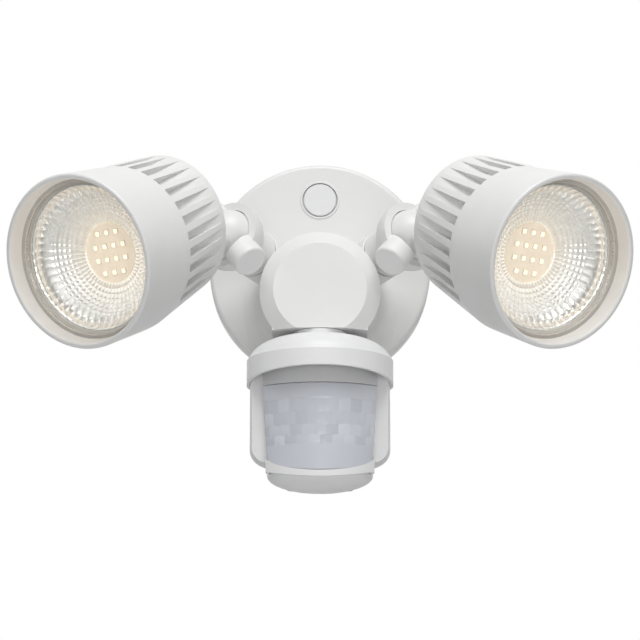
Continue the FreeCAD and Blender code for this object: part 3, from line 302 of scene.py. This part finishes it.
# ----------------------------------------------------------------- materials
def white_paint():
    """Satin powder coat: a slight orange peel over a finer grain."""
    paint = Paint("white_paint", (0.80, 0.80, 0.79), 0.42)
    paint.patches((0.79, 0.79, 0.78), (0.82, 0.82, 0.815), 30 * MM, (0.36, 0.46))
    peel = paint.relief(paint.noise(1.6 * MM, 1.0), 0.020 * MM)
    grain = paint.relief(paint.noise(0.35 * MM, 1.0), 0.008 * MM, under=peel)
    paint.link(grain, "Normal")
    return paint.material


def white_plastic():
    """Moulded resin from a spark-eroded tool."""
    paint = Paint("white_plastic", (0.80, 0.80, 0.80), 0.38,
                  Subsurface_Weight=0.05, Subsurface_Scale=1.2 * MM)
    paint.patches((0.795, 0.795, 0.80), (0.82, 0.82, 0.825), 22 * MM, (0.32, 0.42))
    paint.link(paint.relief(paint.cells(0.45 * MM), 0.010 * MM), "Normal")
    return paint.material


def seal_rubber():
    paint = Paint("seal_rubber", (0.035, 0.035, 0.037), 0.7)
    return paint.finish((0.03, 0.03, 0.032), (0.06, 0.06, 0.06), 4 * MM, (0.62, 0.85), 0.25 * MM, 0.02 * MM)


def gasket_rubber():
    paint = Paint("lens_gasket", (0.62, 0.59, 0.55), 0.5)
    return paint.finish((0.60, 0.57, 0.53), (0.66, 0.63, 0.59), 3 * MM, (0.4, 0.6), 0.3 * MM, 0.02 * MM)


def zinc_steel():
    """Zinc plate: fine crystals and a drawn grain."""
    paint = Paint("zinc_steel", (0.62, 0.62, 0.60), 0.35, metallic=1.0)
    crystals = paint.spread(paint.cells(1.4 * MM), 0, 1, 0.0, 0.8)
    paint.link(paint.blend(crystals, (0.56, 0.56, 0.55), (0.70, 0.70, 0.67)), "Base Color")
    drawn = paint.noise(0.3 * MM, 2.0, paint.stretched((1, 1, 0.08)))
    paint.link(paint.spread(drawn, 0.28, 0.48), "Roughness")
    paint.link(paint.relief(drawn, 0.006 * MM), "Normal")
    return paint.material


def green_screw():
    paint = Paint("green_screw", (0.05, 0.26, 0.09), 0.4, metallic=0.4)
    return paint.finish((0.04, 0.24, 0.08), (0.08, 0.32, 0.12), 2 * MM, (0.3, 0.5), 0.3 * MM, 0.01 * MM)


def grey_plastic():
    paint = Paint("grey_plastic", (0.62, 0.62, 0.62), 0.5)
    return paint.finish((0.60, 0.60, 0.60), (0.66, 0.66, 0.65), 12 * MM, (0.45, 0.6), 0.4 * MM, 0.012 * MM)


def circuit_board():
    """Green solder mask over copper tracks."""
    paint = Paint("circuit_board", (0.03, 0.20, 0.08), 0.35)
    tracks = paint.add("ShaderNodeTexBrick", offset=0.5)
    tracks.inputs["Scale"].default_value = 1 / (14 * MM)
    tracks.inputs["Mortar Size"].default_value = 0.03
    tracks.inputs["Color1"].default_value = (0.02, 0.17, 0.06, 1)
    tracks.inputs["Color2"].default_value = (0.03, 0.21, 0.08, 1)
    tracks.inputs["Mortar"].default_value = (0.06, 0.32, 0.12, 1)
    turned = paint.add("ShaderNodeMapping")
    turned.inputs["Rotation"].default_value = (math.pi / 2, 0, 0)
    paint.link(paint.place, turned.inputs["Vector"])
    paint.link(turned.outputs["Vector"], tracks.inputs["Vector"])
    paint.link(tracks.outputs["Color"], "Base Color")
    paint.link(paint.spread(paint.noise(2 * MM), 0.28, 0.45), "Roughness")
    paint.link(paint.relief(tracks.outputs["Fac"], 0.03 * MM), "Normal")
    return paint.material


def transformer_tape():
    """Yellow tape wound round the core."""
    paint = Paint("transformer_yellow", (0.68, 0.50, 0.08), 0.5)
    winds = paint.noise(1.0 * MM, 2.0, paint.stretched((0.1, 0.1, 1)))
    paint.link(paint.blend(paint.spread(winds, 0, 1), (0.60, 0.42, 0.06), (0.74, 0.58, 0.12)), "Base Color")
    paint.link(paint.relief(winds, 0.05 * MM), "Normal")
    paint.link(paint.spread(paint.noise(3 * MM), 0.4, 0.6), "Roughness")
    return paint.material


def capacitor_sleeve():
    paint = Paint("capacitor_black", (0.02, 0.02, 0.03), 0.25)
    return paint.finish((0.015, 0.015, 0.025), (0.04, 0.04, 0.055), 3 * MM, (0.2, 0.35), 0.5 * MM, 0.01 * MM)


def clear_glass():
    """Tempered glass, with a trace of dust, that lets the lamps' light out."""
    paint = Paint("clear_glass", (0.99, 1.0, 0.995), 0.0, Transmission_Weight=1.0, IOR=1.46)
    paint.link(paint.spread(paint.noise(9 * MM, 5.0), 0.0, 0.03, 0.45, 0.75), "Roughness")
    path = paint.add("ShaderNodeLightPath")
    through = paint.add("ShaderNodeBsdfTransparent")
    mixed = paint.add("ShaderNodeMixShader")
    paint.link(path.outputs["Is Shadow Ray"], mixed.inputs["Fac"])
    paint.link(paint.shader.outputs["BSDF"], mixed.inputs[1])
    paint.link(through.outputs["BSDF"], mixed.inputs[2])
    paint.link(mixed.outputs["Shader"], paint.tree.nodes["Material Output"].inputs["Surface"])
    return paint.material


def reflector_mirror():
    """Metallised dish: a little uneven, with a warm glow painted on as emission near the lit board, standing
    in for the chips' light scattered by the dish.
    """
    paint = Paint("reflector_mirror", (0.86, 0.85, 0.84), 0.14, metallic=1.0)
    # Painted light: warm emission on the dish, strongest at its hole, for the chips' light that it scatters.
    paint.shader.inputs["Emission Color"].default_value = (1.0, 0.80, 0.52, 1)
    uneven = paint.spread(paint.noise(3 * MM, 2.0), 0, 1)
    paint.link(paint.blend(uneven, (0.80, 0.79, 0.78), (0.92, 0.91, 0.90)), "Base Color")
    paint.link(paint.spread(paint.noise(1.5 * MM, 2.0), 0.12, 0.24), "Roughness")
    paint.link(paint.relief(paint.noise(0.6 * MM), 0.008 * MM), "Normal")
    # Painted glow: emission strength follows the painted glow attribute, 1 at the hole and 0 at the mouth.
    painted_glow_near = paint.add("ShaderNodeAttribute", attribute_name="painted_glow").outputs["Fac"]
    paint.link(paint.spread(painted_glow_near, 0.0, 0.35, 0.0, 1.0), "Emission Strength")
    return paint.material


def carrier_aluminium():
    """Rolled sheet."""
    paint = Paint("carrier_aluminium", (0.72, 0.72, 0.73), 0.35, metallic=1.0)
    rolled = paint.noise(0.4 * MM, 2.0, paint.stretched((1, 0.05, 1)))
    paint.link(paint.blend(paint.spread(rolled, 0, 1), (0.66, 0.66, 0.67), (0.78, 0.78, 0.79)), "Base Color")
    paint.link(paint.spread(rolled, 0.28, 0.45), "Roughness")
    paint.link(paint.relief(rolled, 0.008 * MM), "Normal")
    return paint.material


def led_board_mask():
    """White solder mask, with a faint warm emission painted on for the chips' light falling on it."""
    paint = Paint("led_board_white", (0.80, 0.74, 0.66), 0.4)
    # Painted light: a faint warm emission stands in for the chips' light on the board.
    paint.shader.inputs["Emission Color"].default_value = (1.0, 0.80, 0.58, 1)
    paint.shader.inputs["Emission Strength"].default_value = 0.10
    return paint.finish((0.78, 0.72, 0.64), (0.84, 0.78, 0.70), 4 * MM, (0.32, 0.48), 0.4 * MM, 0.01 * MM)


def led_phosphor():
    """Lit warm white phosphor, brightest at each chip's grain."""
    paint = Paint("led_phosphor", (1.0, 0.80, 0.45), 0.4)
    paint.shader.inputs["Emission Strength"].default_value = 1.2
    grain = paint.spread(paint.noise(0.5 * MM), 0, 1)
    paint.link(paint.blend(grain, (1.0, 0.84, 0.46), (1.0, 0.92, 0.60)), "Emission Color")
    return paint.material


def led_case():
    paint = Paint("led_case", (0.86, 0.83, 0.78), 0.4)
    return paint.finish((0.84, 0.80, 0.74), (0.88, 0.85, 0.80), 1.5 * MM, (0.35, 0.5), 0.3 * MM, 0.01 * MM)


def fresnel_plastic():
    """Milky polyethylene, whose small lenses each show a slightly different grey."""
    paint = Paint("fresnel_plastic", (0.60, 0.62, 0.66), 0.3, Subsurface_Weight=0.3, Subsurface_Scale=2 * MM,
                  Coat_Weight=0.3, Coat_Roughness=0.12)
    paint.shader.inputs["Subsurface Radius"].default_value = (0.9, 1.0, 1.2)
    tone = paint.add("ShaderNodeAttribute", attribute_name="facet").outputs["Fac"]
    paint.link(paint.blend(tone, (0.52, 0.54, 0.59), (0.66, 0.68, 0.73)), "Base Color")
    paint.link(paint.relief(paint.noise(0.5 * MM, 1.0), 0.004 * MM), "Normal")
    return paint.material


def dial_grey():
    paint = Paint("dial_grey", (0.09, 0.09, 0.10), 0.45)
    return paint.finish((0.08, 0.08, 0.09), (0.12, 0.12, 0.13), 3 * MM, (0.4, 0.55), 0.3 * MM, 0.012 * MM)


def pot_blue():
    paint = Paint("pot_blue", (0.04, 0.10, 0.36), 0.4)
    return paint.finish((0.035, 0.09, 0.33), (0.06, 0.13, 0.42), 3 * MM, (0.35, 0.5), 0.3 * MM, 0.01 * MM)


# ------------------------------------------------------------ reflector dish
def dish_outline(share, extent):
    """Radius and height of the dish's face, from its hole at 0 to its mouth at 1."""
    inner, outer, low, high = extent
    return (inner + (outer - inner) * math.sin(share * math.pi / 2) ** DISH_RADIUS_POWER,
            low + (high - low) * share ** DISH_HEIGHT_POWER)


def dish_point(share, angle, swell, extent):
    """Point of the dish, raised off its smooth face by a share of the facet's width."""
    radius, z = dish_outline(share, extent)
    before = dish_outline(max(share - DISH_STEP, 0), extent)
    after = dish_outline(min(share + DISH_STEP, 1), extent)
    along = Vector((after[0] - before[0], after[1] - before[1])).normalized()
    lift = swell * FACET_BULGE * 2 * math.pi * radius / DISH_SPOKES
    radius -= lift * along.y
    z += lift * along.x
    return Vector((radius * math.cos(angle), radius * math.sin(angle), z))


def arch(share):
    """0 at both ends of a facet and 1 at its middle."""
    return 4 * share * (1 - share)


def dish_facet(first, last, spoke, matrix, extent):
    """Points of one facet between two shares of the outline. Only the small ones swell both ways."""
    points = []
    for row in range(FACET_CUTS + 1):
        v = row / FACET_CUTS
        upright = arch(v) if last < 1 else 0
        for column in range(FACET_CUTS + 1):
            u = column / FACET_CUTS
            angle = 2 * math.pi * (spoke + u) / DISH_SPOKES
            share = first + (last - first) * v
            points.append(matrix @ dish_point(share, angle, arch(u) + upright, extent))
    return points


def mark_painted_glow(dish, matrix, inner, outer):
    """Point attribute for the painted glow: 1 at the dish's hole, fading to 0 at its mouth."""
    inverse = matrix.inverted()
    painted_glow = dish.data.attributes.new("painted_glow", "FLOAT", "POINT")
    for vertex, value in zip(dish.data.vertices, painted_glow.data):
        place = inverse @ vertex.co
        value.value = max(0.0, 1 - (math.hypot(place.x, place.y) - inner) / (outer - inner)) ** PAINTED_GLOW_POWER


def reflector_dish(side, matrix, material):
    """Bright dish: rings of small square pillows inside a ring of long flutes."""
    node = side + "_reflector"
    inner, flange, low, high = turned_extent(node, matrix)
    extent = (inner, flange - DISH_WALL - DISH_EASE, low, high)
    edges = [SMALL_FACET_SHARE * ring / DISH_RINGS for ring in range(DISH_RINGS + 1)] + [1.0]
    points, faces = [], []
    for first, last in zip(edges[:-1], edges[1:]):
        for spoke in range(DISH_SPOKES):
            faces += grid_faces(FACET_CUTS + 1, FACET_CUTS + 1, start=len(points))
            points += dish_facet(first, last, spoke, matrix, extent)
    dish = piece(side + "_reflector_dish", points, faces, material, side + "_head")
    mark_painted_glow(dish, matrix, inner, flange)
    dish.data.set_sharp_from_angle(angle=math.radians(FACET_SHARP))
    thicken(dish, DISH_WALL)
    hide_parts(node)


# ------------------------------------------------------------- chips and light
def chip_points(x, y, base):
    """Case of one chip with a shallow well, as four square rings from the board to the well's floor."""
    half, well = CHIP_SIZE / 2, CHIP_SIZE / 2 - CHIP_RIM
    top, floor = base + CHIP_HEIGHT, base + CHIP_HEIGHT * WELL_FLOOR
    corners = ((-1, -1), (1, -1), (1, 1), (-1, 1))
    levels = ((half, base), (half, top), (well, top), (well, floor))
    return [Vector((x + sx * size, y + sy * size, z)) for size, z in levels for sx, sy in corners]


def led_chips(side, matrix, case, phosphor):
    """Chips in rows: a pale case round a lit well."""
    board_top = turned_extent(side + "_led_board", matrix)[3]
    lift = Vector((0, 0, CHIP_HEIGHT * WELL_LIFT))
    points, faces, lit_points, lit_faces = [], [], [], []
    for row, count in enumerate(CHIP_ROWS):
        y = (len(CHIP_ROWS) - 1 - 2 * row) / 2 * CHIP_PITCH[1]
        for column in range(count):
            x = (2 * column - count + 1) / 2 * CHIP_PITCH[0]
            chip = chip_points(x, y, board_top)
            start = len(points)
            points += [matrix @ p for p in chip]
            faces.append(tuple(reversed(range(start, start + CORNERS))))
            faces += grid_faces(len(chip) // CORNERS, CORNERS, closed=True, start=start)
            faces.append(tuple(range(len(points) - CORNERS, len(points))))
            lit = len(lit_points)
            lit_points += [matrix @ (p + lift) for p in chip[-CORNERS:]]
            lit_faces.append(tuple(range(lit, lit + CORNERS)))
    piece(side + "_chip_cases", points, faces, case, side + "_head", smooth=False)
    wells = piece(side + "_chip_wells", lit_points, lit_faces, phosphor, side + "_head",
                  smooth=False)
    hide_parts(side + "_led_chips")


def chip_light(side, matrix):
    """The chips' own light, as one small warm lamp in front of the board."""
    data = bpy.data.lights.new(side + "_chip_light", "POINT")
    data.energy = CHIP_LIGHT_POWER
    data.color = CHIP_LIGHT_COLOUR
    data.shadow_soft_size = CHIP_LIGHT_SIZE
    lamp = add_object(side + "_chip_light", data)
    lamp.location = matrix @ Vector((0, 0, CHIP_LIGHT_OUT))
    lamp.visible_camera = False
    lamp.visible_transmission = False
    lamp.visible_glossy = False
    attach(lamp, side + "_head")


# ------------------------------------------------------------- gasket and seal
def gasket_ring(side, matrix, material):
    """Lens gasket with fine deep ribs round its front lip."""
    node = side + "_lens_gasket"
    lens_r, lens_back, lens_front = turned_extent(side + "_front_lens", matrix)[1:]
    inner, outer, back, front = turned_extent(node, matrix)
    groove = lens_front + GASKET_GROOVE_Z
    behind = lens_back - GASKET_GAP
    pitch = (outer - lens_r + GASKET_OVER_LENS) / GASKET_RIBS
    outline = [(outer, back)]
    for rib in range(GASKET_RIBS):
        edge = outer - pitch * rib
        outline += [(edge, front), (edge - GASKET_RIB * pitch, front),
                    (edge - GASKET_RIB_FOOT * pitch, groove), (edge - GASKET_GROOVE_END * pitch, groove)]
    outline += [(lens_r, lens_front + GASKET_GAP), (lens_r, behind), (inner, behind), (inner, back)]
    ring = ring_shell(side + "_gasket_ring", outline, matrix, material, side + "_head")
    ring.data.set_sharp_from_angle(angle=math.radians(GASKET_SHARP))
    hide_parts(node)


def seal_ring(side, material):
    """Black seal between the arm's boss and its cup, swollen out to the groove's mouth so that its black also
    stands in for the shade in the gap there.
    """
    node = side + "_swivel_seal"
    seal = middle(node)
    matrix = axis_frame(seal, seal - middle(side + "_swivel_nut"))
    inner, outer, low, high = turned_extent(node, matrix)
    swell = outer + SEAL_SWELL
    outline = [(inner, low), (swell - SEAL_EDGE, low), (swell, low / 2), (swell, high / 2),
               (swell - SEAL_EDGE, high), (inner, high)]
    ring = ring_shell(side + "_seal_ring", outline, matrix, material, side + "_arm")
    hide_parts(node)


# ------------------------------------------------------------- sensor window
def window_point(share, z, half, side_y, front_y, back_y, bulge):
    """Point on the window's outside, from -1 to 1 along its plan's outline."""
    reach = side_y - front_y
    radius = (half * half + reach * reach) / (2 * reach)
    centre_y = front_y + radius
    sweep = math.asin(half / radius)
    arc = radius * sweep
    across = share * (arc + back_y - side_y)
    turn = max(-sweep, min(sweep, across / radius))
    normal = Vector((math.sin(turn), -math.cos(turn), 0))
    point = Vector((0, centre_y, z)) + normal * radius
    beyond = abs(across) - arc
    if beyond > 0:
        normal = Vector((math.copysign(1, across), 0, 0))
        point = Vector((math.copysign(half, across), side_y + beyond, z))
    return point - normal * bulge


def facet_at(share, z, top):
    """Depth below the facets' crests, and a tone for the facet: rows below a plain band."""
    below = top - WINDOW_BAND - z
    start = 0.0
    for row, height in enumerate(WINDOW_ROWS):
        if start <= below < start + height:
            v = (below - start) / height
            column = (share + 1) / 2 * WINDOW_COLUMNS + 0.5 * (row % 2)
            u = column - math.floor(column)
            tone = math.sin(TONE_COLUMN * math.floor(column) + TONE_ROW * row) * TONE_SCATTER
            return WINDOW_BULGE * ((2 * u - 1) ** 2 + (2 * v - 1) ** 2) / 2, tone - math.floor(tone)
        start += height
    return (0.0 if below < 0 else WINDOW_BULGE / 2), PLAIN_TONE


def sensor_window(material):
    """Translucent window: a bowed sheet whose lower edge hangs in an arc, with rows of small lenses."""
    points = np.array([vertex.co for vertex in NODES["fresnel_lens"].data.vertices])
    front_y, back_y = points[:, 1].min(), points[:, 1].max()
    half_top, bottom, top = points[:, 0].max(), points[:, 2].min(), points[:, 2].max()
    sides = points[points[:, 0] > half_top - WINDOW_SIDE_BAND]
    corner_z = sides[:, 2].min()
    half_low = sides[np.abs(sides[:, 2] - corner_z) < WINDOW_CORNER_BAND][:, 0].max()
    side_y = front_y + WINDOW_SIDE
    radius = (half_top ** 2 + WINDOW_SIDE ** 2) / (2 * WINDOW_SIDE)
    width = 2 * (radius * math.asin(half_top / radius) + back_y - side_y)
    columns = int(width / WINDOW_STEP) + 1
    rows = int((top - bottom) / WINDOW_STEP) + 1
    made, tones = [], []
    for row in range(rows):
        down = row / (rows - 1)
        for column in range(columns):
            share = 2 * column / (columns - 1) - 1
            corner = window_point(share, corner_z, half_low, side_y, front_y, back_y, 0)
            out = min(1.0, abs(corner.x) / (half_low - WINDOW_EASE))
            edge = corner_z - (corner_z - bottom) * math.sqrt(1 - out ** 2)
            z = top + (edge - top) * down
            half = half_top + (half_low - half_top) * (top - z) / (top - corner_z)
            depth, tone = facet_at(share, z, top)
            made.append(window_point(share, z, half, side_y, front_y, back_y, depth))
            tones.append(tone)
    window = piece("sensor_window", made, grid_faces(rows, columns), material, "sensor")
    facet = window.data.attributes.new("facet", "FLOAT", "POINT")
    facet.data.foreach_set("value", tones)
    thicken(window, WINDOW_WALL)
    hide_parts("fresnel_lens")


# ---------------------------------------------------------------- the scene
def paint_nodes():
    """Gives every CAD node the material of its slot in the record."""
    makers = {"white_paint": white_paint, "white_plastic": white_plastic, "seal_rubber": seal_rubber,
              "lens_gasket": gasket_rubber, "zinc_steel": zinc_steel, "green_screw": green_screw,
              "grey_plastic": grey_plastic, "circuit_board": circuit_board,
              "transformer_yellow": transformer_tape, "capacitor_black": capacitor_sleeve,
              "clear_glass": clear_glass, "reflector_mirror": reflector_mirror,
              "carrier_aluminium": carrier_aluminium, "led_board_white": led_board_mask,
              "led_phosphor": led_phosphor, "fresnel_plastic": fresnel_plastic,
              "dial_grey": dial_grey, "pot_blue": pot_blue}
    made = {slot: maker() for slot, maker in makers.items()}
    for part in frame["record"]["subparts"]:
        node = NODES[part["node"]]
        node.data.materials.clear()
        node.data.materials.append(made[part["material_slot"]])
    return made


def softbox(name, place, size, power):
    """Round area lamp that faces the middle of the light."""
    data = bpy.data.lights.new(name, "AREA")
    data.shape = "DISK"
    data.size = size
    data.energy = power
    lamp = add_object(name, data)
    lamp.location = place
    lamp.rotation_euler = (Vector(SOFTBOX_TARGET) - Vector(place)).to_track_quat("-Z", "Y").to_euler()


def surround():
    """White for the rays that see it or its mirror image, and a dimmer light on everything else."""
    world = bpy.data.worlds.new("surround")
    bpy.context.scene.world = world
    world.use_nodes = True
    tree = world.node_tree
    path = tree.nodes.new("ShaderNodeLightPath")
    seen = path.outputs["Is Camera Ray"]
    for kind in ("Is Glossy Ray", "Is Transmission Ray"):
        either = tree.nodes.new("ShaderNodeMath")
        either.operation = "MAXIMUM"
        tree.links.new(seen, either.inputs[0])
        tree.links.new(path.outputs[kind], either.inputs[1])
        seen = either.outputs["Value"]
    mixed = tree.nodes.new("ShaderNodeMixShader")
    tree.links.new(seen, mixed.inputs["Fac"])
    dim, white = tree.nodes["Background"], tree.nodes.new("ShaderNodeBackground")
    for socket, node, strength in ((1, dim, SURROUND_LIGHT), (2, white, SURROUND_SEEN)):
        node.inputs["Color"].default_value = (1, 1, 1, 1)
        node.inputs["Strength"].default_value = strength
        tree.links.new(node.outputs["Background"], mixed.inputs[socket])
    tree.links.new(mixed.outputs["Shader"], tree.nodes["World Output"].inputs["Surface"])


def floor():
    """Pale floor below the light, to send some light up."""
    paint = Paint("floor", (0.9, 0.9, 0.9), 0.8)
    paint.finish((0.89, 0.89, 0.89), (0.91, 0.91, 0.91), 0.4, (0.75, 0.85), 2 * MM, 0.02 * MM)
    corners = [(sx * FLOOR_HALF, sy * FLOOR_HALF, FLOOR_Z) for sx, sy in ((-1, -1), (1, -1), (1, 1), (-1, 1))]
    mesh = bpy.data.meshes.new("floor")
    mesh.from_pydata(corners, [], [(0, 1, 2, 3)])
    mesh.materials.append(paint.material)
    add_object("floor", mesh)


def camera():
    """Eye below level that looks up at the light."""
    below = math.radians(EYE_BELOW)
    back = Vector((0, -math.cos(below), -math.sin(below)))
    data = bpy.data.cameras.new("camera")
    data.sensor_width = SENSOR_WIDTH
    data.lens = LENS
    eye = add_object("camera", data)
    eye.matrix_world = axis_frame(AIM + back * EYE_DISTANCE, back)
    bpy.context.scene.camera = eye


def main():
    made = paint_nodes()
    for side in SIDES:
        matrix = lamp_frame(side)
        reflector_dish(side, matrix, made["reflector_mirror"])
        led_chips(side, matrix, led_case(), made["led_phosphor"])
        gasket_ring(side, matrix, made["lens_gasket"])
        chip_light(side, matrix)
        seal_ring(side, made["seal_rubber"])
    sensor_window(made["fresnel_plastic"])
    floor()
    softbox("softbox_top", SOFTBOX_TOP, SOFTBOX_TOP_SIZE, SOFTBOX_TOP_POWER)
    softbox("softbox_front", SOFTBOX_FRONT, SOFTBOX_FRONT_SIZE, SOFTBOX_FRONT_POWER)
    surround()
    camera()
    bpy.context.scene.view_settings.view_transform = "Standard"


main()
